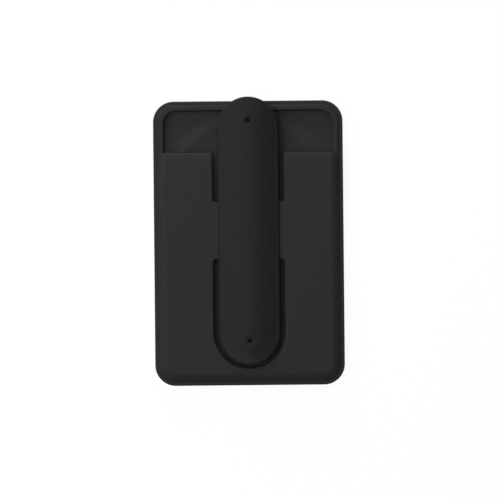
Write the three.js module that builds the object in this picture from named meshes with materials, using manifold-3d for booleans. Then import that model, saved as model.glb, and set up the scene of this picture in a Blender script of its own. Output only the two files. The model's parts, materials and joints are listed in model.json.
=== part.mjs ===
// Card holder for the back of a phone, with a snap strap that curls up into a stand.
// Millimetres. It lies on its back: +Z is the way the front faces, +Y is its upper end.
// The origin is the middle of the body's outline, on the flat back face.
import * as THREE from "three";
import { mergeVertices } from "three/addons/utils/BufferGeometryUtils.js";
import Module from "manifold-3d";

const wasm = await Module();
wasm.setup();

// Card and pocket
const cardWidth = 54;
const cardLength = 85.6;
const cardSideClearance = 1.6;
const cardEndClearance = 2.6;
const pocketDepth = 2.3;
const pocketCorner = 4.4;
const cardShowing = 14.2;

// Body walls, seen from the front
const sideWall = 1.95;
const topWall = 1.75;
const bottomWall = 3.15;
const lipWidth = 1.45;
const bodyCorner = 7;

// Body heights, from the back face upwards
const lipHeight = 4.1;
const lipRound = 0.6;
const floorHeight = 2.6;
const panelThickness = 1.2;
const rimDrop = 0.2;
const rimRound = 0.6;
const shoulderRound = 3;
const panelEdgeRound = 0.5;

// Cut-outs in the front panel, and the bridge between them that carries the strap
const notchDepth = 16.65;
const notchCorner = 0.8;
const bridgeLength = 19.5;
const strapSideGap = 1.75;
const strapEndGap = 1.5;

// Strap
const strapWidth = 20.5;
const strapLength = 90;
const strapEdgeThickness = 2;
const strapMiddleThickness = 2.3;
const strapRimGap = 0.45;
const strapEdgeRound = 0.5;
const domeWidth = 18.6;
const domeRise = 2.4;

// Links: the strap's free ends bend in steps, each about a line across its top
const linksPerArm = 6;
const tipLength = 12.15;
const linkGap = 0.3;

// Spring strip inside the strap
const stripWidth = 15;
const stripThickness = 0.25;
const stripCover = 1;
const stripEndMargin = 3.2;
const stripClearance = 0.13;
const pinHoleRadius = 0.7;
const pinHoleFromEnd = 8;
const pinDimpleRadius = 1.5;
const pinDimpleDepth = 0.2;

// Magnets in the back
const ringFromTop = 32.16;
const magnetCount = 18;
const magnetInnerRadius = 24.75;
const magnetRadialWidth = 3;
const magnetThickness = 1.3;
const magnetSpacing = 0.35;
const barMagnetWidth = 5;
const barMagnetLength = 18;
const barMagnetFromRing = 2.5;
const shieldThickness = 0.25;
const magnetClearance = 0.15;
const glueGap = 0.05;
const reliefHeight = 0.3;
const reliefWall = 1.3;
const reliefSlope = 1.5;

// Back cover
const coverThickness = 0.5;
const coverMargin = 1.8;
const coverClearance = 0.15;

// Steps along the curves
const cornerSteps = 8;
const roundSteps = 4;
const domeSteps = 20;
const ringSteps = 72;

// Sizes that follow
const pocketWidth = cardWidth + 2 * cardSideClearance;
const pocketLength = cardLength + cardEndClearance;
const wallWidth = pocketWidth + 2 * sideWall;
const wallLength = pocketLength + topWall + bottomWall;
const bodyWidth = wallWidth + 2 * lipWidth;
const bodyLength = wallLength + 2 * lipWidth;
const wallCorner = bodyCorner - lipWidth;
const pocketY = (bottomWall - topWall) / 2;
const panelBack = floorHeight + pocketDepth;
const panelFront = panelBack + panelThickness;
const rimTop = panelBack - rimDrop;
const panelTopY = pocketY + pocketLength / 2 - cardShowing;
const bridgeTopY = panelTopY - notchDepth;
const bridgeBottomY = bridgeTopY - bridgeLength;
const strapY = (bridgeTopY + bridgeBottomY) / 2;
const strapEdgeBottom = rimTop + strapRimGap;
const strapEdgeTop = strapEdgeBottom + strapEdgeThickness;
const strapCrown = strapEdgeTop + domeRise;
const domeRadius = (domeWidth ** 2 / 4 + domeRise ** 2) / (2 * domeRise);
const domeCentreZ = strapCrown - domeRadius;
const armLength = (strapLength - bridgeLength) / 2;
const linkLength = (armLength - tipLength) / linksPerArm;
const cutoutWidth = strapWidth + 2 * strapSideGap;
const windowBottomY = strapY - strapLength / 2 - strapEndGap;
const ringY = bodyLength / 2 - ringFromTop;
const magnetOuterRadius = magnetInnerRadius + magnetRadialWidth;
const magnetBottom = coverThickness + glueGap;
const magnetTop = magnetBottom + magnetThickness;
const shieldTop = magnetTop + shieldThickness;
const grooveTop = shieldTop + glueGap;
const barMagnetY = ringY - magnetOuterRadius - barMagnetFromRing - barMagnetLength / 2;
// Tool solids run this far past what they cut
const past = 20;

// Points of an arc from angle a to angle b, in degrees
function arc(cx, cy, radius, a, b, steps) {
  return Array.from({ length: steps + 1 }, (_, i) => {
    const angle = THREE.MathUtils.degToRad(a + ((b - a) * i) / steps);
    return new THREE.Vector2(cx + radius * Math.cos(angle), cy + radius * Math.sin(angle));
  });
}

// Rectangle with round corners, centred on x = 0
function roundedRectangle(width, length, corner, y = 0) {
  const cx = width / 2 - corner;
  const cy = length / 2 - corner;
  return [
    ...arc(cx, y - cy, corner, -90, 0, cornerSteps),
    ...arc(cx, y + cy, corner, 0, 90, cornerSteps),
    ...arc(-cx, y + cy, corner, 90, 180, cornerSteps),
    ...arc(-cx, y - cy, corner, 180, 270, cornerSteps),
  ];
}

// Long slot with half-round ends, along Y
function stadium(width, length, y) {
  const radius = width / 2;
  const reach = length / 2 - radius;
  return [
    ...arc(0, y + reach, radius, 0, 180, 2 * domeSteps),
    ...arc(0, y - reach, radius, 180, 360, 2 * domeSteps),
  ];
}

// A three.js geometry as a solid that can be joined and cut
function solidOf(geometry) {
  geometry.deleteAttribute("normal");
  geometry.deleteAttribute("uv");
  const merged = mergeVertices(geometry);
  const mesh = new wasm.Mesh({
    numProp: 3,
    vertProperties: merged.attributes.position.array,
    triVerts: new Uint32Array(merged.index.array),
  });
  return new wasm.Manifold(mesh);
}

// Outline in X and Y, raised from z0 to z1. round makes its edges round, inside the outline.
function plate(points, z0, z1, round = 0) {
  const geometry = new THREE.ExtrudeGeometry(new THREE.Shape(points), {
    depth: z1 - z0 - 2 * round,
    bevelEnabled: round > 0,
    bevelThickness: round,
    bevelSize: round,
    bevelOffset: -round,
    bevelSegments: roundSteps,
  });
  return solidOf(geometry.translate(0, 0, z0 + round));
}

// Outline in X and Z, drawn out from y0 to y1
function beam(points, y0, y1) {
  const geometry = new THREE.ExtrudeGeometry(new THREE.Shape(points), {
    depth: y1 - y0,
    bevelEnabled: false,
  });
  return solidOf(geometry.rotateX(Math.PI / 2).translate(0, y1, 0));
}

// Ring about Z, from its section in radius and height
function ring(section, y) {
  const geometry = new THREE.LatheGeometry([...section, section[0]], ringSteps);
  return solidOf(geometry.rotateX(Math.PI / 2).translate(0, y, 0));
}

function box(x0, x1, y0, y1, z0, z1) {
  const geometry = new THREE.BoxGeometry(x1 - x0, y1 - y0, z1 - z0);
  return solidOf(geometry.translate((x0 + x1) / 2, (y0 + y1) / 2, (z0 + z1) / 2));
}

// The strip of space between two heights along the part
const slab = (y0, y1) => box(-past, past, y0, y1, -past, past);

// Angle of the point at half-width x on an arc about the dome's centre
const domeAngle = (x, radius) => THREE.MathUtils.radToDeg(Math.acos(x / radius));

// Arched band about the dome's centre line, cut to a half-width
function archedBand(innerRadius, outerRadius, halfWidth) {
  const outer = domeAngle(halfWidth, outerRadius);
  const inner = domeAngle(halfWidth, innerRadius);
  return [
    ...arc(0, domeCentreZ, outerRadius, outer, 180 - outer, domeSteps),
    ...arc(0, domeCentreZ, innerRadius, 180 - inner, inner, domeSteps),
  ];
}

// Top of the strap's section, from its right edge to its left one
function strapTop() {
  const edge = strapWidth / 2 - strapEdgeRound;
  const start = domeAngle(domeWidth / 2, domeRadius);
  return [
    ...arc(edge, strapEdgeTop - strapEdgeRound, strapEdgeRound, 0, 90, roundSteps),
    ...arc(0, domeCentreZ, domeRadius, start, 180 - start, domeSteps),
    ...arc(-edge, strapEdgeTop - strapEdgeRound, strapEdgeRound, 90, 180, roundSteps),
  ];
}

// Free strap: hollow underneath, where it is arched
function strapSection() {
  const radius = domeRadius - strapMiddleThickness;
  const start = THREE.MathUtils.radToDeg(Math.asin((strapEdgeBottom - domeCentreZ) / radius));
  return [
    ...strapTop(),
    new THREE.Vector2(-strapWidth / 2, strapEdgeBottom),
    ...arc(0, domeCentreZ, radius, 180 - start, start, domeSteps),
    new THREE.Vector2(strapWidth / 2, strapEdgeBottom),
  ];
}

// Strap over the bridge: filled down to the panel
function bridgeSection() {
  return [
    ...strapTop(),
    new THREE.Vector2(-strapWidth / 2, panelBack),
    new THREE.Vector2(strapWidth / 2, panelBack),
  ];
}

// Slot along the strap that holds the spring strip
function stripSlot() {
  const outer = domeRadius - stripCover + stripClearance;
  const inner = domeRadius - stripCover - stripThickness - stripClearance;
  const width = stripWidth + 2 * stripClearance;
  const length = strapLength - 2 * stripEndMargin + 2 * stripClearance;
  const arched = beam(archedBand(inner, outer, width / 2), strapY - past * 3, strapY + past * 3);
  return arched.intersect(plate(stadium(width, length, strapY), 0, past));
}

// Hole that the moulding pin leaves over the strip, at the bottom of a shallow dimple
function pinHole(y) {
  const hole = arc(0, y, pinHoleRadius, 0, 360, 2 * cornerSteps).slice(1);
  const dimple = arc(0, y, pinDimpleRadius, 0, 360, 2 * cornerSteps).slice(1);
  const slotMiddle = strapCrown - stripCover - stripThickness / 2;
  return plate(hole, slotMiddle, past).add(plate(dimple, strapCrown - pinDimpleDepth, past));
}

const slot = stripSlot();

function wholeStrap() {
  const reach = strapLength / 2;
  const outline = plate(stadium(strapWidth, strapLength, strapY), 0, past);
  return beam(strapSection(), strapY - reach, strapY + reach)
    .intersect(outline)
    .subtract(slot)
    .subtract(pinHole(strapY + reach - pinHoleFromEnd))
    .subtract(pinHole(strapY - reach + pinHoleFromEnd));
}

// Base plate with the lip round the walls, and the hollows in its back for magnets and cover
function basePlate() {
  const outline = roundedRectangle(bodyWidth, bodyLength, bodyCorner);
  return plate(outline, 0, lipHeight, lipRound);
}

function coverOutline(inset) {
  const margin = coverMargin + inset;
  const corner = bodyCorner - margin;
  return roundedRectangle(bodyWidth - 2 * margin, bodyLength - 2 * margin, corner);
}

function ringSection(inner, outer, z0, z1) {
  return [
    new THREE.Vector2(inner, z0),
    new THREE.Vector2(outer, z0),
    new THREE.Vector2(outer, z1),
    new THREE.Vector2(inner, z1),
  ];
}

function backHollows() {
  const inner = magnetInnerRadius - magnetClearance;
  const outer = magnetOuterRadius + magnetClearance;
  const halfBar = barMagnetWidth / 2 + magnetClearance;
  const halfLength = barMagnetLength / 2 + magnetClearance;
  const barTop = magnetTop + glueGap;
  return plate(coverOutline(0), -past, coverThickness)
    .add(ring(ringSection(inner, outer, 0, grooveTop), ringY))
    .add(box(-halfBar, halfBar, barMagnetY - halfLength, barMagnetY + halfLength, 0, barTop));
}

// Low relief on the pocket's floor, over the magnets
function magnetRelief() {
  const inner = magnetInnerRadius - magnetClearance - reliefWall;
  const outer = magnetOuterRadius + magnetClearance + reliefWall;
  const top = floorHeight + reliefHeight;
  const section = [
    new THREE.Vector2(inner, floorHeight - reliefHeight),
    new THREE.Vector2(outer, floorHeight - reliefHeight),
    new THREE.Vector2(outer, floorHeight),
    new THREE.Vector2(outer - reliefSlope, top),
    new THREE.Vector2(inner + reliefSlope, top),
    new THREE.Vector2(inner, floorHeight),
  ];
  return ring(section, ringY);
}

// Rim round the open end, lower than the front panel
function rim() {
  const outline = roundedRectangle(wallWidth, wallLength, wallCorner);
  return plate(outline, lipRound, rimTop, rimRound);
}

// Front panel with its broad round shoulders, ended by a rounded top edge
function frontBlock() {
  const outline = roundedRectangle(wallWidth, wallLength, wallCorner);
  const block = plate(outline, -past, panelFront, shoulderRound);
  const edge = arc(
    panelTopY - panelEdgeRound,
    panelFront - panelEdgeRound,
    panelEdgeRound,
    90,
    0,
    roundSteps,
  );
  const side = [
    new THREE.Vector2(-bodyLength, lipRound),
    new THREE.Vector2(-bodyLength, panelFront),
    ...edge,
    new THREE.Vector2(panelTopY, lipRound),
  ];
  const keep = new THREE.ExtrudeGeometry(new THREE.Shape(side), {
    depth: bodyWidth,
    bevelEnabled: false,
  });
  // The side view's length and height become Y and Z
  keep.translate(0, 0, -bodyWidth / 2).rotateX(Math.PI / 2).rotateZ(Math.PI / 2);
  return block.intersect(solidOf(keep));
}

// Card pocket, and the open recess above the panel
function pocket() {
  const outline = roundedRectangle(pocketWidth, pocketLength, pocketCorner, pocketY);
  const open = plate(outline, floorHeight, past).intersect(slab(panelTopY, bodyLength));
  return plate(outline, floorHeight, panelBack).add(open);
}

// Notch at the panel's top edge: square, with small round corners
function notch() {
  const half = cutoutWidth / 2;
  const r = notchCorner;
  return [
    ...arc(-half + r, bridgeTopY + r, r, 180, 270, roundSteps),
    ...arc(half - r, bridgeTopY + r, r, 270, 360, roundSteps),
    ...arc(half + r, panelTopY - r, r, 180, 90, roundSteps),
    new THREE.Vector2(half + r, panelTopY + r),
    new THREE.Vector2(-half - r, panelTopY + r),
    ...arc(-half - r, panelTopY - r, r, 90, 0, roundSteps),
  ];
}

// Window below the bridge: square at the top, half round at the bottom like the strap
function windowOutline() {
  const half = cutoutWidth / 2;
  const r = notchCorner;
  return [
    ...arc(half - r, bridgeBottomY - r, r, 0, 90, roundSteps),
    ...arc(-half + r, bridgeBottomY - r, r, 90, 180, roundSteps),
    ...arc(0, windowBottomY + half, half, 180, 360, 2 * domeSteps),
  ];
}

function pocketBody() {
  const bridge = beam(bridgeSection(), bridgeBottomY, bridgeTopY);
  return basePlate()
    .add(rim())
    .add(frontBlock())
    .subtract(pocket())
    .subtract(plate(notch(), floorHeight + reliefHeight, past))
    .subtract(plate(windowOutline(), floorHeight + reliefHeight, past))
    .add(magnetRelief())
    .subtract(backHollows())
    .add(bridge)
    .subtract(slot);
}

const silicone = new THREE.MeshStandardMaterial({ color: "#303032", roughness: 0.62, metalness: 0 });
const strapSilicone = new THREE.MeshStandardMaterial({ color: "#2b2b2d", roughness: 0.7, metalness: 0 });
const liner = new THREE.MeshStandardMaterial({ color: "#2a2a2c", roughness: 0.9, metalness: 0 });
const springSteel = new THREE.MeshStandardMaterial({ color: "#a9abad", roughness: 0.35, metalness: 1 });
const nickel = new THREE.MeshStandardMaterial({ color: "#c4c0b8", roughness: 0.25, metalness: 1 });

const holder = new THREE.Group();

function addPiece(name, solid, material) {
  const mesh = solid.getMesh();
  const geometry = new THREE.BufferGeometry();
  geometry.setAttribute("position", new THREE.BufferAttribute(mesh.vertProperties, 3));
  geometry.setIndex(new THREE.BufferAttribute(mesh.triVerts, 1));
  geometry.computeVertexNormals();
  const piece = new THREE.Mesh(geometry, material);
  piece.name = name;
  holder.add(piece);
  return piece;
}

addPiece("pocket_body", pocketBody(), silicone);

// Strap arms, cut from the whole strap into links that bend one after another
const strap = wholeStrap();
for (const [arm, way] of [["upper", 1], ["lower", -1]]) {
  const root = strapY + (way * bridgeLength) / 2;
  for (let i = 0; i <= linksPerArm; i++) {
    const start = i * linkLength + linkGap;
    const end = i < linksPerArm ? (i + 1) * linkLength : armLength + linkGap;
    const [y0, y1] = [root + way * start, root + way * end].sort((a, b) => a - b);
    const name = i < linksPerArm ? `${arm}_strap_link_${i + 1}` : `${arm}_strap_tip`;
    addPiece(name, strap.intersect(slab(y0, y1)), strapSilicone);
  }
}

// Spring steel strip, arched across and round at both ends
const stripOuter = domeRadius - stripCover;
const stripBand = archedBand(stripOuter - stripThickness, stripOuter, stripWidth / 2);
const stripLength = strapLength - 2 * stripEndMargin;
const strip = beam(stripBand, strapY - strapLength / 2, strapY + strapLength / 2).intersect(
  plate(stadium(stripWidth, stripLength, strapY), 0, past),
);
addPiece("spring_strip", strip, springSteel);

// Ring of arc magnets, all alike
const gapAngle = THREE.MathUtils.radToDeg(magnetSpacing / magnetInnerRadius);
const halfMagnet = 180 / magnetCount - gapAngle / 2;
const magnetOutline = [
  ...arc(0, 0, magnetOuterRadius, -halfMagnet, halfMagnet, roundSteps),
  ...arc(0, 0, magnetInnerRadius, halfMagnet, -halfMagnet, roundSteps),
];
const magnet = plate(magnetOutline, magnetBottom, magnetTop);
for (let i = 0; i < magnetCount; i++) {
  const piece = addPiece(`ring_magnet_${String(i + 1).padStart(2, "0")}`, magnet, nickel);
  piece.position.y = ringY;
  piece.rotation.z = ((i + 0.5) / magnetCount) * 2 * Math.PI;
}

// Upright bar magnet that keeps the holder straight on the phone
const halfBarWidth = barMagnetWidth / 2;
const barBottomY = barMagnetY - barMagnetLength / 2;
const barTopY = barMagnetY + barMagnetLength / 2;
const bar = box(-halfBarWidth, halfBarWidth, barBottomY, barTopY, magnetBottom, magnetTop);
addPiece("bar_magnet", bar, nickel);

// Thin steel ring that closes the magnets' field on the card side
const shieldSection = ringSection(magnetInnerRadius, magnetOuterRadius, magnetTop, shieldTop);
addPiece("shield_ring", ring(shieldSection, ringY), springSteel);

// Soft back cover that closes the hollows
addPiece("back_cover", plate(coverOutline(coverClearance), 0, coverThickness), liner);

export default holder;
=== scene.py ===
"""Card holder with a snap strap, in moulded silicone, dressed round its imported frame. All in metres."""
import json
import math

import bmesh
import bpy
import numpy as np
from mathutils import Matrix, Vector


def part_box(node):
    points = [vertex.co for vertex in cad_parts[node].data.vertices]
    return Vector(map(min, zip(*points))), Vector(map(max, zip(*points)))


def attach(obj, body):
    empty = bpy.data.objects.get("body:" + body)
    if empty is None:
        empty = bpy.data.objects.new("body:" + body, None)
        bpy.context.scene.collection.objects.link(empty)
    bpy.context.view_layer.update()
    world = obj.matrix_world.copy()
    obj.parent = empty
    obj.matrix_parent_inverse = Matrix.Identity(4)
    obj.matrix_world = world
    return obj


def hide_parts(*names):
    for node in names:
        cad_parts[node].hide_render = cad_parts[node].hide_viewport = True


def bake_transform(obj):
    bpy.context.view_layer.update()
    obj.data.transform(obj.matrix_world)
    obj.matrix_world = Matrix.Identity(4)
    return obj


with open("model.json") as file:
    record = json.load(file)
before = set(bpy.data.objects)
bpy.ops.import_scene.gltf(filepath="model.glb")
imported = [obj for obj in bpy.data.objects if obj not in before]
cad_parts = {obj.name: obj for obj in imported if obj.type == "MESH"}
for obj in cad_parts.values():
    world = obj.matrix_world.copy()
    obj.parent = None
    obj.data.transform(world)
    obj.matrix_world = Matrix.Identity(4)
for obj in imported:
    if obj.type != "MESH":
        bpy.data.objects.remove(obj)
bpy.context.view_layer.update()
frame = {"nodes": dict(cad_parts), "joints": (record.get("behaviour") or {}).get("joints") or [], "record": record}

MM = 0.001

# Body, from the outside in
CORNER = 7 * MM
LIP_WIDTH = 1.45 * MM
LIP_TOP = 3.95 * MM
LIP_ROUND = 0.35 * MM
BACK_ROUND = 0.5 * MM
WALL_FILLET = 0.08 * MM
RIM_TOP = 4.7 * MM
RIM_ROUND = 0.5 * MM
RIM_INNER_ROUND = 0.25 * MM
PANEL_FRONT = 6.1 * MM
PANEL_BACK = 4.9 * MM
SHOULDER = 3 * MM
PANEL_EDGE = 0.6 * MM
PANEL_FALL = 0.5 * MM
PANEL_FALL_LENGTH = 3.6 * MM

# Pocket and the openings in the front panel
POCKET_HALF_WIDTH = 28.6 * MM
POCKET_HALF_LENGTH = 44.1 * MM
POCKET_Y = 0.7 * MM
POCKET_CORNER = 4.4 * MM
POCKET_FILLET = 0.3 * MM
FLOOR = 2.6 * MM
PANEL_TOP_Y = 30.6 * MM
OPENING_HALF_WIDTH = 12 * MM
OPENING_CORNER = 0.9 * MM
BRIDGE_TOP_Y = 13.95 * MM
BRIDGE_BOTTOM_Y = -5.55 * MM
WINDOW_BOTTOM_Y = -42.05 * MM

# Relief over the magnets
RELIEF_HEIGHT = 0.2 * MM
RELIEF_MARGIN = 1.3 * MM
# Painted sheen: a lighter band painted on the floor over the ring, where the raised relief catches more light
SHEEN_RADIUS = 27.6 * MM
SHEEN_HALF_WIDTH = 2.4 * MM
SHEEN_FADE = 1.2 * MM

# Magnets and back cover
RING_WIDTH = 3 * MM
MAGNET_CLEARANCE = 0.15 * MM
GLUE_GAP = 0.05 * MM
COVER_CORNER = 5.05 * MM
COVER_CLEARANCE = 0.15 * MM
COVER_GLUE = 0.02 * MM
HOLLOW_EDGE = 0.15 * MM

# Strap
DOME_HALF_WIDTH = 9.3 * MM
DOME_RISE = 2.4 * MM
DOME_FOOT = 0.35 * MM
END_DIP = 0.25 * MM
END_FLARE = 2.8 * MM
END_SHARPNESS = 8
STRAP_THICKNESS = 2.3 * MM
STRAP_EDGE_THICKNESS = 2 * MM
STRAP_EDGE = 0.65 * MM
STRAP_UNDER_EDGE = 0.3 * MM
STRIP_COVER = 1 * MM
STRIP_THICKNESS = 0.25 * MM
STRIP_CLEARANCE = 0.13 * MM

# Share of a height over the arch that counts as a distance
ARCH_SLOPE = 0.92

# Pin holes
PIN_FROM_END = 8 * MM
PIN_RADIUS = 0.72 * MM
PIN_INTO_STRIP = 0.1 * MM
PIN_EDGE = 0.12 * MM
DIMPLE_RADIUS = 1.5 * MM
DIMPLE_DEPTH = 0.22 * MM
DIMPLE_EDGE = 0.1 * MM

# Mesh steps, finer where a form curves more
FINE = 0.3 * MM
COARSE = 0.5 * MM
STRAP_STEP = 0.25 * MM
STRAP_LONG_STEP = 0.45 * MM
TIP_STEP = 0.2 * MM
HEIGHT_STEP = 0.24 * MM
HEIGHT_MARGIN = 1.5 * HEIGHT_STEP
TIP_LENGTH = 11 * MM
BELOW_PANEL_TOP = 2 * MM
SAME_PLANE = math.radians(0.25)

# Sizes that the frame gives
half_width, half_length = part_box("pocket_body")[1][:2]
strap_low_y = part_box("lower_strap_tip")[0][1]
strap_radius, strap_high_y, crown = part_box("upper_strap_tip")[1]
strap_middle_y = (strap_low_y + strap_high_y) / 2
strap_reach = (strap_high_y - strap_low_y) / 2 - strap_radius
strap_lip = crown - DOME_RISE
strap_under = strap_lip - STRAP_EDGE_THICKNESS
dome_radius = (DOME_HALF_WIDTH ** 2 + DOME_RISE ** 2) / (2 * DOME_RISE)
dome_centre = crown - dome_radius
strip_low, strip_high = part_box("spring_strip")
strip_radius = strip_high[0]
strip_reach = (strip_high[1] - strip_low[1]) / 2 - strip_radius
shield_low, shield_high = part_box("shield_ring")
ring_y = (shield_low[1] + shield_high[1]) / 2
ring_middle = shield_high[0] - RING_WIDTH / 2
bar_low, bar_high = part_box("bar_magnet")
cover_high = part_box("back_cover")[1]


# Distances: each function gives how far points lie outside a form, negative inside it

def rounded_rectangle(x, y, half_x, half_y, corner):
    """Rectangle with round corners, centred on the origin."""
    dx = np.abs(x) - half_x + corner
    dy = np.abs(y) - half_y + corner
    outside = np.hypot(np.maximum(dx, 0), np.maximum(dy, 0))
    return outside + np.minimum(np.maximum(dx, dy), 0) - corner


def stadium(x, y, radius, reach):
    """Bar along y with two round ends, whose centres are a reach from the origin."""
    return np.hypot(x, np.maximum(np.abs(y) - reach, 0)) - radius


def both(a, b, radius):
    """What lies in two forms at once, its new edge rounded to a radius."""
    over = np.hypot(np.maximum(a + radius, 0), np.maximum(b + radius, 0))
    return np.minimum(np.maximum(a, b), -radius) + over


def either(a, b, radius):
    """Two forms joined, with a fillet of a radius between them."""
    under = np.hypot(np.maximum(radius - a, 0), np.maximum(radius - b, 0))
    return np.maximum(np.minimum(a, b), radius) - under


def panel_outline(x, y):
    """Front panel seen from the front: square notch above the bridge, round-ended window below it."""
    notch_half = (half_length - BRIDGE_TOP_Y) / 2 + CORNER
    notch = rounded_rectangle(
        x, y - BRIDGE_TOP_Y - notch_half, OPENING_HALF_WIDTH, notch_half, OPENING_CORNER
    )
    round_end = stadium(x, y, OPENING_HALF_WIDTH, -WINDOW_BOTTOM_Y - OPENING_HALF_WIDTH)
    window = both(round_end, y - BRIDGE_BOTTOM_Y, OPENING_CORNER)
    panel = both(y - PANEL_TOP_Y, -notch, OPENING_CORNER)
    return np.maximum(panel, -window)


def back_hollows(x, y, z):
    """Room in the back for the cover, the ring of magnets and the bar magnet."""
    cover_half_x = cover_high[0] + COVER_CLEARANCE
    cover_half_y = cover_high[1] + COVER_CLEARANCE
    cover = rounded_rectangle(x, y, cover_half_x, cover_half_y, COVER_CORNER + COVER_CLEARANCE)
    cover = np.maximum(cover, z - cover_high[2])
    ring = np.abs(np.hypot(x, y - ring_y) - ring_middle) - RING_WIDTH / 2 - MAGNET_CLEARANCE
    ring = np.maximum(ring, z - shield_high[2] - GLUE_GAP)
    bar_y = (bar_low[1] + bar_high[1]) / 2
    bar = np.maximum(np.abs(x) - bar_high[0], np.abs(y - bar_y) - (bar_high[1] - bar_low[1]) / 2)
    bar = np.maximum(bar - MAGNET_CLEARANCE, z - bar_high[2] - GLUE_GAP)
    return np.minimum(cover, np.minimum(ring, bar))


def body_form(x, y, z):
    """The moulded pocket body, without the strap."""
    outline = rounded_rectangle(x, y, half_width, half_length, CORNER)
    lip = both(both(outline, z - LIP_TOP, LIP_ROUND), -z, BACK_ROUND)
    wall = outline + LIP_WIDTH
    rim = both(wall, z - RIM_TOP, RIM_ROUND)
    # The panel falls away gently towards its top edge
    near_edge = np.clip((y - PANEL_TOP_Y) / PANEL_FALL_LENGTH + 1, 0, 1)
    front = both(wall, z - PANEL_FRONT + PANEL_FALL * near_edge ** 2, SHOULDER)
    front = both(front, panel_outline(x, y), PANEL_EDGE)
    # The walls stand on the base, clear of its rounded back edge
    walls = np.maximum(np.minimum(rim, front), BACK_ROUND - z)
    # A low smooth swell of the pocket's floor over the magnets
    half_swell = RING_WIDTH / 2 + MAGNET_CLEARANCE + RELIEF_MARGIN
    across = np.clip(np.abs(np.hypot(x, y - ring_y) - ring_middle) / half_swell, 0, 1)
    floor = FLOOR + RELIEF_HEIGHT * (1 - across ** 2) ** 2
    pocket = rounded_rectangle(x, y - POCKET_Y, POCKET_HALF_WIDTH, POCKET_HALF_LENGTH, POCKET_CORNER)
    pocket = both(pocket, floor - z, POCKET_FILLET)
    body = both(either(lip, walls, WALL_FILLET), -pocket, RIM_INNER_ROUND)
    body = np.minimum(body, np.maximum(front, PANEL_BACK - z))
    return both(body, -back_hollows(x, y, z), HOLLOW_EDGE)


def dome_height(x, y):
    """Height of the strap's arched top. Its upper end falls away a little at the edge, and its lower
    end dips and flares up again at the edge."""
    arch = np.sqrt(np.maximum(dome_radius ** 2 - x ** 2, 0)) + dome_centre - strap_lip
    arch = 0.5 * (arch + np.sqrt(arch ** 2 + DOME_FOOT ** 2))
    inside = -stadium(x, y - strap_middle_y, strap_radius, strap_reach)
    in_end = np.clip((y - strap_middle_y) / strap_reach, -1, 1)
    fall = np.clip(1 - inside / END_FLARE, 0, 1) ** 2
    dip = 1 - np.clip(np.abs(inside / END_FLARE - 1), 0, 1) ** 2
    return strap_lip + arch - END_DIP * np.where(in_end > 0, fall, dip) * np.abs(in_end) ** END_SHARPNESS


def strap_form(x, y, z):
    """The whole free strap: arched, hollow underneath, with a slot for its steel strip."""
    outline = stadium(x, y - strap_middle_y, strap_radius, strap_reach)
    top = dome_height(x, y)
    under = np.maximum(top - STRAP_THICKNESS, strap_under)
    strap = both(outline, (z - top) * ARCH_SLOPE, STRAP_EDGE)
    strap = both(strap, (under - z) * ARCH_SLOPE, STRAP_UNDER_EDGE)
    strip_place = np.abs(z - top + STRIP_COVER + STRIP_THICKNESS / 2) - STRIP_THICKNESS / 2
    strip = np.maximum(stadium(x, y - strap_middle_y, strip_radius, strip_reach), strip_place)
    strap = np.maximum(strap, STRIP_CLEARANCE - strip)
    for end in (1, -1):
        pin_y = strap_middle_y + end * (strap_reach + strap_radius - PIN_FROM_END)
        from_pin = np.hypot(x, y - pin_y)
        hole = np.maximum(from_pin - PIN_RADIUS, crown - STRIP_COVER - PIN_INTO_STRIP - z)
        dimple = both(from_pin - DIMPLE_RADIUS, top - DIMPLE_DEPTH - z, DIMPLE_DEPTH / 2)
        strap = both(strap, -dimple, DIMPLE_EDGE)
        strap = both(strap, -hole, PIN_EDGE)
    return strap


def strap_middle_form(x, y, z):
    """The strap over the bridge, where it is filled down to the front panel."""
    outline = stadium(x, y - strap_middle_y, strap_radius, strap_reach)
    strap = both(outline, (z - dome_height(x, y)) * ARCH_SLOPE, STRAP_EDGE)
    return np.maximum(strap, PANEL_FRONT - z)


# Meshes

def steps(*stops):
    """Grid lines from stop to stop: (place, step to the next stop), ..., last place."""
    lines = []
    for (start, step), after in zip(stops[:-1], stops[1:]):
        end = after[0] if isinstance(after, tuple) else after
        count = max(1, round((end - start) / step))
        lines.append(np.linspace(start, end, count, endpoint=False))
    lines.append([stops[-1]])
    return np.concatenate(lines)


def slope_of(form, points):
    """Slope of a form's distance at each point, which is the way its surface faces there."""
    nudge = 0.02 * MM
    slope = np.empty_like(points)
    for n in range(3):
        ahead, behind = points.copy(), points.copy()
        ahead[:, n] += nudge
        behind[:, n] -= nudge
        slope[:, n] = (form(*ahead.T) - form(*behind.T)) / (2 * nudge)
    return slope


def pulled_to_surface(form, points, low, high):
    """Moves each point along the form's slope until it lies on the surface, within its own cell."""
    passes = 5
    least_slope = 0.05
    for _ in range(passes):
        value = form(*points.T)
        slope = slope_of(form, points)
        size = np.maximum((slope ** 2).sum(axis=1), least_slope)
        points = np.clip(points - slope * (value / size)[:, None], low, high)
    return points


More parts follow.
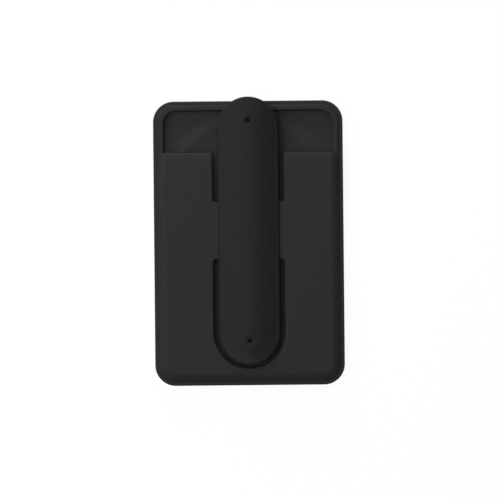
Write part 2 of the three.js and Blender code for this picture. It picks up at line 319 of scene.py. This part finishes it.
def skin(form, xs, ys, zs):
    """Points and four-sided faces of the closed surface where a form's distance is zero."""
    inside = form(*np.meshgrid(xs, ys, zs, indexing="ij")) < 0
    nx, ny, nz = (size - 1 for size in inside.shape)
    count = np.zeros((nx, ny, nz), dtype=np.int8)
    for i in (0, 1):
        for j in (0, 1):
            for k in (0, 1):
                count += inside[i:i + nx, j:j + ny, k:k + nz]
    crossed = (count > 0) & (count < 8)
    number = np.full(crossed.shape, -1)
    number[crossed] = np.arange(np.count_nonzero(crossed))
    cell = np.argwhere(crossed)
    low = np.stack([axis[cell[:, n]] for n, axis in enumerate((xs, ys, zs))], axis=1)
    high = np.stack([axis[cell[:, n] + 1] for n, axis in enumerate((xs, ys, zs))], axis=1)
    points = pulled_to_surface(form, (low + high) / 2, low, high)

    faces = []
    for a in range(3):
        b, c = (a + 1) % 3, (a + 2) % 3
        here = np.moveaxis(inside, (a, b, c), (0, 1, 2))
        cells = np.moveaxis(number, (a, b, c), (0, 1, 2))
        start, end = here[:-1, 1:-1, 1:-1], here[1:, 1:-1, 1:-1]
        quad = np.stack([cells[:, :-1, :-1], cells[:, 1:, :-1], cells[:, 1:, 1:], cells[:, :-1, 1:]], axis=-1)
        faces.append(quad[start & ~end])
        faces.append(quad[~start & end][:, ::-1])
    return points, np.concatenate(faces)


def shade_by_form(piece, form):
    """Shades a mesh by the form it was made from."""
    mesh = piece.data
    points = np.empty(len(mesh.vertices) * 3)
    mesh.vertices.foreach_get("co", points)
    facing = slope_of(form, points.reshape(-1, 3))
    never_zero = 1e-9
    facing /= np.linalg.norm(facing, axis=1, keepdims=True) + never_zero
    normals = np.empty((len(mesh.loops), 3))
    for face in mesh.polygons:
        loops = slice(face.loop_start, face.loop_start + face.loop_total)
        normals[loops] = facing[list(face.vertices)]
    mesh.normals_split_custom_set(normals.tolist())


def add_piece(name, mesh, finish):
    """Puts a mesh in the scene as a smooth piece with one finish."""
    mesh.shade_smooth()
    mesh.materials.append(finish)
    piece = bpy.data.objects.new(name, mesh)
    bpy.context.scene.collection.objects.link(piece)
    return piece


def merge_flat_faces(piece, angle):
    """Joins neighbouring faces that lie in one plane."""
    shell = bmesh.new()
    shell.from_mesh(piece.data)
    bmesh.ops.dissolve_limit(shell, angle_limit=angle, verts=shell.verts, edges=shell.edges)
    shell.to_mesh(piece.data)
    shell.free()


def length_of(name, points, faces, y0, y1, finish):
    """The stretch of a long closed mesh between y0 and y1, with its cuts filled. On most of the strap's
    lengths the fill at y1 covers only part of the cut, which the next length hides."""
    same_place = 0.0001 * MM
    spare = 1 * MM
    face_y = points[faces][:, :, 1]
    kept = (face_y.max(axis=1) > y0 - spare) & (face_y.min(axis=1) < y1 + spare)
    used, near = np.unique(faces[kept], return_inverse=True)
    shell = bmesh.new()
    verts = [shell.verts.new(point) for point in points[used]]
    for face in near.reshape(-1, 4):
        shell.faces.new([verts[n] for n in face])
    for y, way in ((y0, -1), (y1, 1)):
        if (points[:, 1] * way).max() <= y * way:
            continue
        everything = shell.verts[:] + shell.edges[:] + shell.faces[:]
        cut = bmesh.ops.bisect_plane(
            shell,
            geom=everything,
            dist=same_place,
            plane_co=(0, y, 0),
            plane_no=(0, way, 0),
            clear_outer=True,
        )
        edges = [item for item in cut["geom_cut"] if isinstance(item, bmesh.types.BMEdge)]
        bmesh.ops.triangle_fill(shell, edges=edges, use_beauty=True, normal=(0, way, 0))
        for edge in edges:
            if edge.is_valid:
                edge.smooth = False
    bmesh.ops.recalc_face_normals(shell, faces=shell.faces)
    mesh = bpy.data.meshes.new(name)
    shell.to_mesh(mesh)
    shell.free()
    return add_piece(name, mesh, finish)


# Shader expressions

class Wire:
    """A shader socket that takes part in sums, so that a finish reads as a formula."""

    def __init__(self, finish, socket):
        self.finish = finish
        self.socket = socket

    def __add__(self, other):
        return self.finish.maths("ADD", self, other)

    def __sub__(self, other):
        return self.finish.maths("SUBTRACT", self, other)

    def __rsub__(self, other):
        return self.finish.maths("SUBTRACT", other, self)

    def __mul__(self, other):
        return self.finish.maths("MULTIPLY", self, other)

    __radd__ = __add__
    __rmul__ = __mul__


class Finish:
    """One material: its nodes are added through node(), and its shader gets them in surface()."""

    def __init__(self, name):
        self.material = bpy.data.materials.new(name)
        self.material.use_nodes = True
        self.tree = self.material.node_tree
        self.tree.nodes.clear()
        self.place = self.node("ShaderNodeTexCoord").outputs["Object"]

    def node(self, kind, settings=None, **inputs):
        """Adds a node. A setting is one of its properties, and an input is a value or a link.
        An input is named as on the node, or _0, _1 and so on by its place."""
        node = self.tree.nodes.new(kind)
        for key, value in (settings or {}).items():
            setattr(node, key, value)
        for key, value in inputs.items():
            slot = int(key[1:]) if key[0] == "_" else key.replace("_", " ")
            self.feed(node.inputs[slot], value)
        return node

    def feed(self, socket, value):
        """Links a wire or socket to a node's input, or sets the input to a value."""
        if isinstance(value, Wire):
            value = value.socket
        if isinstance(value, bpy.types.NodeSocket):
            self.tree.links.new(value, socket)
        else:
            socket.default_value = value

    def maths(self, operation, a, b, clamp=False):
        node = self.node("ShaderNodeMath", {"operation": operation, "use_clamp": clamp}, _0=a, _1=b)
        return Wire(self, node.outputs[0])

    def noise(self, size, detail=3, roughness=0.55):
        """Cloudy values from 0 to 1, with blotches of about a size."""
        node = self.node(
            "ShaderNodeTexNoise", Vector=self.place, Scale=1 / size, Detail=detail, Roughness=roughness
        )
        return Wire(self, node.outputs["Fac"])

    def blend(self, amount, first, second):
        """Colour between two colours, or beyond the second for an amount over 1."""
        settings = {"data_type": "RGBA", "clamp_factor": False}
        node = self.node("ShaderNodeMix", settings, _0=amount, _6=first, _7=second)
        return node.outputs[2]

    def bump(self, height, distance, strength=1.0, normal=None):
        inputs = {"Height": height, "Distance": distance, "Strength": strength}
        if normal is not None:
            inputs["Normal"] = normal
        return self.node("ShaderNodeBump", **inputs).outputs[0]

    def surface(self, **inputs):
        shader = self.node("ShaderNodeBsdfPrincipled", **inputs)
        self.node("ShaderNodeOutputMaterial", Surface=shader.outputs[0])
        return self.material


def grey(value, blue=1.0):
    """Colour of one brightness, a little colder where blue is over 1."""
    return (value, value, value * blue, 1)


# Painted sheen: marks where the colour is lightened to stand in for light caught by the relief over the magnets
def painted_sheen_over_magnets(finish):
    """1 on the pocket's floor over the ring of magnets, where a painted sheen lightens the silicone, and 0
    elsewhere.
    """
    from_ring = finish.node(
        "ShaderNodeMapping", Vector=finish.place, Location=(0, -ring_y, 0), Scale=(1, 1, 0)
    )
    radius = finish.node("ShaderNodeVectorMath", {"operation": "LENGTH"}, _0=from_ring.outputs[0])
    away = finish.maths("ABSOLUTE", Wire(finish, radius.outputs["Value"]) - SHEEN_RADIUS, 0)
    band = finish.maths("ADD", away * (-1.0 / SHEEN_FADE), SHEEN_HALF_WIDTH / SHEEN_FADE, clamp=True)
    height = Wire(finish, finish.node("ShaderNodeSeparateXYZ", Vector=finish.place).outputs["Z"])
    above_floor = FLOOR + 3 * RELIEF_HEIGHT
    return band * finish.maths("LESS_THAN", height, above_floor)


def silicone_finish(name, tone, roughness):
    """Matt moulded silicone: a fine even grain, very faint clouds from the mould's blasting, and a painted sheen
    on the pocket's floor over the ring of magnets.
    """
    finish = Finish(name)
    clouds = finish.noise(9 * MM)
    grain = finish.noise(0.22 * MM, detail=2)
    ripple = finish.noise(2.4 * MM, detail=2)
    # The band over the magnets is a painted sheen: lighter colour where the raised relief catches more light
    shade = clouds * 0.5 + grain * 0.3 + painted_sheen_over_magnets(finish) * 0.6 + 0.1
    colour = finish.blend(shade, grey(tone * 0.86, 1.08), grey(tone * 1.14, 1.08))
    fine = finish.bump(grain, 0.02 * MM, 0.45)
    soft = finish.bump(ripple, 0.02 * MM, 0.5, fine)
    return finish.surface(
        Base_Color=colour,
        Roughness=roughness + (clouds - 0.5) * 0.16 + (grain - 0.5) * 0.1,
        Specular_IOR_Level=0.08,
        Normal=soft,
    )


def liner_finish():
    """Soft synthetic leather with a close pebbled grain."""
    finish = Finish("liner_leather")
    clouds = finish.noise(12 * MM)
    cells = finish.node(
        "ShaderNodeTexVoronoi",
        {"feature": "SMOOTH_F1"},
        Vector=finish.place,
        Scale=1 / (0.75 * MM),
        Smoothness=0.6,
    )
    pebbles = Wire(finish, cells.outputs["Distance"])
    pores = finish.noise(0.3 * MM, detail=2)
    colour = finish.blend(clouds * 0.5 + pebbles * 0.5, grey(0.0150, 1.04), grey(0.0235, 1.04))
    rough = finish.bump(1 - pebbles, 0.09 * MM, 0.7, finish.bump(pores, 0.02 * MM, 0.5))
    return finish.surface(
        Base_Color=colour,
        Roughness=0.72 + (pores - 0.5) * 0.2,
        Specular_IOR_Level=0.3,
        Normal=rough,
    )


def rolled_steel_finish(name, dark, light, roughness):
    """Rolled steel, with fine scratches along its length."""
    finish = Finish(name)
    along = finish.node("ShaderNodeMapping", Vector=finish.place, Scale=(1, 0.04, 1))
    lines = finish.node("ShaderNodeTexNoise", Vector=along.outputs[0], Scale=1 / (0.15 * MM), Detail=4)
    scratches = Wire(finish, lines.outputs["Fac"])
    clouds = finish.noise(6 * MM)
    return finish.surface(
        Base_Color=finish.blend(clouds, grey(dark, 1.04), grey(light, 1.04)),
        Metallic=1.0,
        Roughness=roughness + scratches * 0.2,
        Normal=finish.bump(scratches, 0.004 * MM, 0.5),
    )


def nickel_finish():
    """Bright nickel plating with a faint orange-peel and duller patches."""
    finish = Finish("nickel_plating")
    peel = finish.noise(0.5 * MM)
    patches = finish.noise(3 * MM)
    return finish.surface(
        Base_Color=finish.blend(patches, (0.5, 0.475, 0.43, 1), (0.6, 0.575, 0.53, 1)),
        Metallic=1.0,
        Roughness=0.2 + patches * 0.14,
        Normal=finish.bump(peel, 0.006 * MM, 0.4),
    )


silicone = silicone_finish("body_silicone", tone=0.0158, roughness=0.6)
strap_silicone = silicone_finish("strap_silicone", tone=0.0106, roughness=0.62)
liner = liner_finish()
# The strip shows only down the pin holes; its near-black colour is painted shade for those holes
hole_shade_steel = rolled_steel_finish("spring_steel_dark_for_hole_shade", dark=0.003, light=0.006, roughness=0.5)
bright_steel = rolled_steel_finish("bright_rolled_steel", dark=0.36, light=0.46, roughness=0.3)
nickel = nickel_finish()


# Pieces

def make_body():
    """The pocket body, one moulding."""
    xs = steps((-half_width - FINE, FINE), half_width + FINE)
    ys = steps(
        (-half_length - FINE, FINE),
        (WINDOW_BOTTOM_Y + OPENING_HALF_WIDTH, COARSE),
        (PANEL_TOP_Y - BELOW_PANEL_TOP, FINE),
        half_length + FINE,
    )
    zs = steps((-HEIGHT_MARGIN, HEIGHT_STEP), PANEL_FRONT + HEIGHT_MARGIN)
    points, faces = skin(body_form, xs, ys, zs)
    mesh = bpy.data.meshes.new("pocket_moulding")
    mesh.from_pydata(points.tolist(), [], faces.tolist())
    body = add_piece("pocket_moulding", mesh, silicone)
    merge_flat_faces(body, SAME_PLANE)
    shade_by_form(body, body_form)
    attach(body, "holder")
    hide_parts("pocket_body")


def strap_stretches():
    """For each hinge of the arms: the hinge, where its bend starts and ends, and the stretch of strap
    that takes it, from its lowest to its highest y. The last stretch runs past the strap's end."""
    stretches = []
    for arm, way, root in (("upper", 1, BRIDGE_TOP_Y), ("lower", -1, BRIDGE_BOTTOM_Y)):
        hinges = [joint for joint in frame["joints"] if joint["name"].startswith(arm)]
        hinges.sort(key=lambda joint: way * joint["pos_m"][1])
        half_link = abs(hinges[1]["pos_m"][1] - hinges[0]["pos_m"][1]) / 2
        start = root
        for hinge in hinges:
            end = hinge["pos_m"][1] + way * half_link
            far = end if hinge is not hinges[-1] else way * half_length * 2
            stretches.append((hinge, start, end, min(start, far), max(start, far)))
            start = end
    return stretches


def make_strap():
    """The strap: its middle on the bridge, and its arms in lengths that join end to end."""
    half = strap_reach + strap_radius
    xs = steps((-strap_radius - STRAP_STEP, STRAP_STEP), strap_radius + STRAP_STEP)
    ys = steps(
        (strap_middle_y - half - TIP_STEP, TIP_STEP),
        (strap_middle_y - half + TIP_LENGTH, STRAP_LONG_STEP),
        (strap_middle_y + half - TIP_LENGTH, TIP_STEP),
        strap_middle_y + half + TIP_STEP,
    )
    zs = steps((strap_under - HEIGHT_MARGIN, HEIGHT_STEP), crown + HEIGHT_MARGIN)
    points, faces = skin(strap_form, xs, ys, zs)
    middle_points, middle_faces = skin(strap_middle_form, xs, ys, zs)
    middle = length_of(
        "strap_middle", middle_points, middle_faces, BRIDGE_BOTTOM_Y, BRIDGE_TOP_Y, strap_silicone
    )
    shade_by_form(middle, strap_middle_form)
    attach(middle, "holder")
    for hinge, start, end, y0, y1 in strap_stretches():
        piece = length_of("arched_" + hinge["child"], points, faces, y0, y1, strap_silicone)
        shade_by_form(piece, strap_form)
        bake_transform(piece)
        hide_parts(*frame["record"]["behaviour"]["bodies"][hinge["child"]])


def strip_mesh():
    """Thin arched band with round ends: a row of points across it at each step of its length."""
    across = 24
    end_rows = 23
    end_angle = 85
    straight_rows = 130
    angles = np.radians(np.linspace(-end_angle, end_angle, end_rows))
    ends = strip_radius * np.sin(angles)
    straight = np.linspace(-strip_reach, strip_reach, straight_rows)
    rows = [(y - strip_reach, strip_radius * math.cos(a)) for y, a in zip(ends, angles) if y < 0]
    rows += [(y, strip_radius) for y in straight]
    rows += [(y + strip_reach, strip_radius * math.cos(a)) for y, a in zip(ends, angles) if y > 0]
    points = []
    for y, half in rows:
        xs = np.linspace(-half, half, across)
        top = dome_height(xs, strap_middle_y + y) - STRIP_COVER
        for z in (top, top - STRIP_THICKNESS):
            points.append(np.stack([xs, np.full(across, strap_middle_y + y), z], axis=1))
    ring = 2 * across
    order = list(range(across)) + list(range(ring - 1, across - 1, -1))
    faces = []
    for row in range(len(rows) - 1):
        for n in range(ring):
            a, b = order[n], order[(n + 1) % ring]
            faces.append((row * ring + a, row * ring + b, (row + 1) * ring + b, (row + 1) * ring + a))
    last = (len(rows) - 1) * ring
    for n in range(across - 1):
        faces.append((n, n + across, n + across + 1, n + 1))
        faces.append((last + n, last + n + 1, last + n + across + 1, last + n + across))
    return np.concatenate(points), np.array(faces)


def make_strip():
    """The steel strip, in the same lengths as the strap round it."""
    points, faces = strip_mesh()
    middle = length_of("spring_strip_middle", points, faces, BRIDGE_BOTTOM_Y, BRIDGE_TOP_Y, hole_shade_steel)
    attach(middle, "holder")
    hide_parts("spring_strip")
    for hinge, start, end, y0, y1 in strap_stretches():
        piece = length_of("spring_" + hinge["child"], points, faces, y0, y1, hole_shade_steel)
        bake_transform(piece)


def make_cover():
    """Back cover: a thin sheet with softly rounded edges."""
    corner_steps = 16
    edge = 0.12 * MM
    edge_middle = 0.035 * MM
    profile = [(edge, 0.0), (edge_middle, edge_middle), (0.0, edge), (0.0, cover_high[2] - COVER_GLUE)]
    points = []
    for inset, z in profile:
        corner = COVER_CORNER - inset
        for quarter in range(4):
            middle_x = (cover_high[0] - inset - corner) * (1 if quarter in (0, 3) else -1)
            middle_y = (cover_high[1] - inset - corner) * (1 if quarter in (0, 1) else -1)
            for n in range(corner_steps + 1):
                angle = math.radians(90 * (quarter + n / corner_steps))
                points.append((middle_x + corner * math.cos(angle), middle_y + corner * math.sin(angle), z))
    ring = 4 * (corner_steps + 1)
    faces = [list(range(ring))[::-1], [(len(profile) - 1) * ring + n for n in range(ring)]]
    for row in range(len(profile) - 1):
        for n in range(ring):
            after = (n + 1) % ring
            faces.append((row * ring + n, row * ring + after, (row + 1) * ring + after, (row + 1) * ring + n))
    mesh = bpy.data.meshes.new("back_cover_sheet")
    mesh.from_pydata(points, [], faces)
    cover = add_piece("back_cover_sheet", mesh, liner)
    for face in mesh.polygons[:2]:
        face.use_smooth = False
    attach(cover, "holder")
    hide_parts("back_cover")


def finish_node(name, finish):
    """Gives a CAD node, which keeps its own shape, its finish."""
    piece = frame["nodes"][name]
    piece.data.materials.clear()
    piece.data.materials.append(finish)


def make_magnets():
    """The ring of magnets, the bar magnet and the shield ring stay the CAD's own shapes."""
    for name in frame["nodes"]:
        if name.startswith("ring_magnet") or name == "bar_magnet":
            finish_node(name, nickel)
    finish_node("shield_ring", bright_steel)


# Studio

def make_floor():
    """Pale sheet under the holder, white to the camera, that still takes the holder's shadow."""
    half = 1.5
    below_holder = 0.02 * MM
    white_share = 0.94
    mesh = bpy.data.meshes.new("floor_sheet")
    corners = [(-half, -half, 0), (half, -half, 0), (half, half, 0), (-half, half, 0)]
    mesh.from_pydata(corners, [], [(0, 1, 2, 3)])
    finish = Finish("floor_paper")
    paper = finish.node("ShaderNodeBsdfDiffuse", Color=grey(0.82))
    white = finish.node("ShaderNodeEmission", Color=grey(1.0), Strength=1.0)
    camera_ray = Wire(finish, finish.node("ShaderNodeLightPath").outputs["Is Camera Ray"])
    mixed = finish.node(
        "ShaderNodeMixShader", _0=camera_ray * white_share, _1=paper.outputs[0], _2=white.outputs[0]
    )
    finish.node("ShaderNodeOutputMaterial", Surface=mixed.outputs[0])
    floor = add_piece("floor_sheet", mesh, finish.material)
    floor.location.z = -below_holder


def make_lamp(name, place, size, power):
    """A round soft lamp that shines at the origin."""
    data = bpy.data.lights.new(name, "AREA")
    data.shape = "DISK"
    data.size = size
    data.energy = power
    lamp = bpy.data.objects.new(name, data)
    lamp.location = place
    lamp.rotation_euler = (-Vector(place)).to_track_quat("-Z", "Y").to_euler()
    bpy.context.scene.collection.objects.link(lamp)


def make_light():
    """A broad lamp on the left, a small one overhead, a low one past the top edge, and a white room."""
    make_lamp("key_lamp", place=(-0.29, 0.06, 0.46), size=0.72, power=3.5)
    make_lamp("overhead_lamp", place=(-0.02, 0.0, 0.95), size=0.25, power=0.9)
    make_lamp("top_edge_lamp", place=(-0.08, 0.6, 0.14), size=0.3, power=3.4)
    world = bpy.data.worlds.new("studio")
    world.use_nodes = True
    background = world.node_tree.nodes["Background"]
    background.inputs["Color"].default_value = grey(1.0)
    background.inputs["Strength"].default_value = 0.33
    bpy.context.scene.world = world


def make_camera():
    """Looks straight down, turned a little, at the photograph's scale."""
    distance = 0.9
    turn = -0.56
    pixels = 500
    pixels_per_metre = 2950
    centre_px = (249.0, 243.1)
    data = bpy.data.cameras.new("camera")
    data.sensor_width = 36
    data.lens = pixels_per_metre * distance * data.sensor_width / pixels
    camera = bpy.data.objects.new("camera", data)
    camera.location = (
        (pixels / 2 - centre_px[0]) / pixels_per_metre,
        -(pixels / 2 - centre_px[1]) / pixels_per_metre,
        distance,
    )
    camera.rotation_euler = (0, 0, math.radians(turn))
    bpy.context.scene.collection.objects.link(camera)
    bpy.context.scene.camera = camera


bpy.context.scene.view_settings.view_transform = "Standard"
make_body()
make_strap()
make_strip()
make_cover()
make_magnets()
make_floor()
make_light()
make_camera()
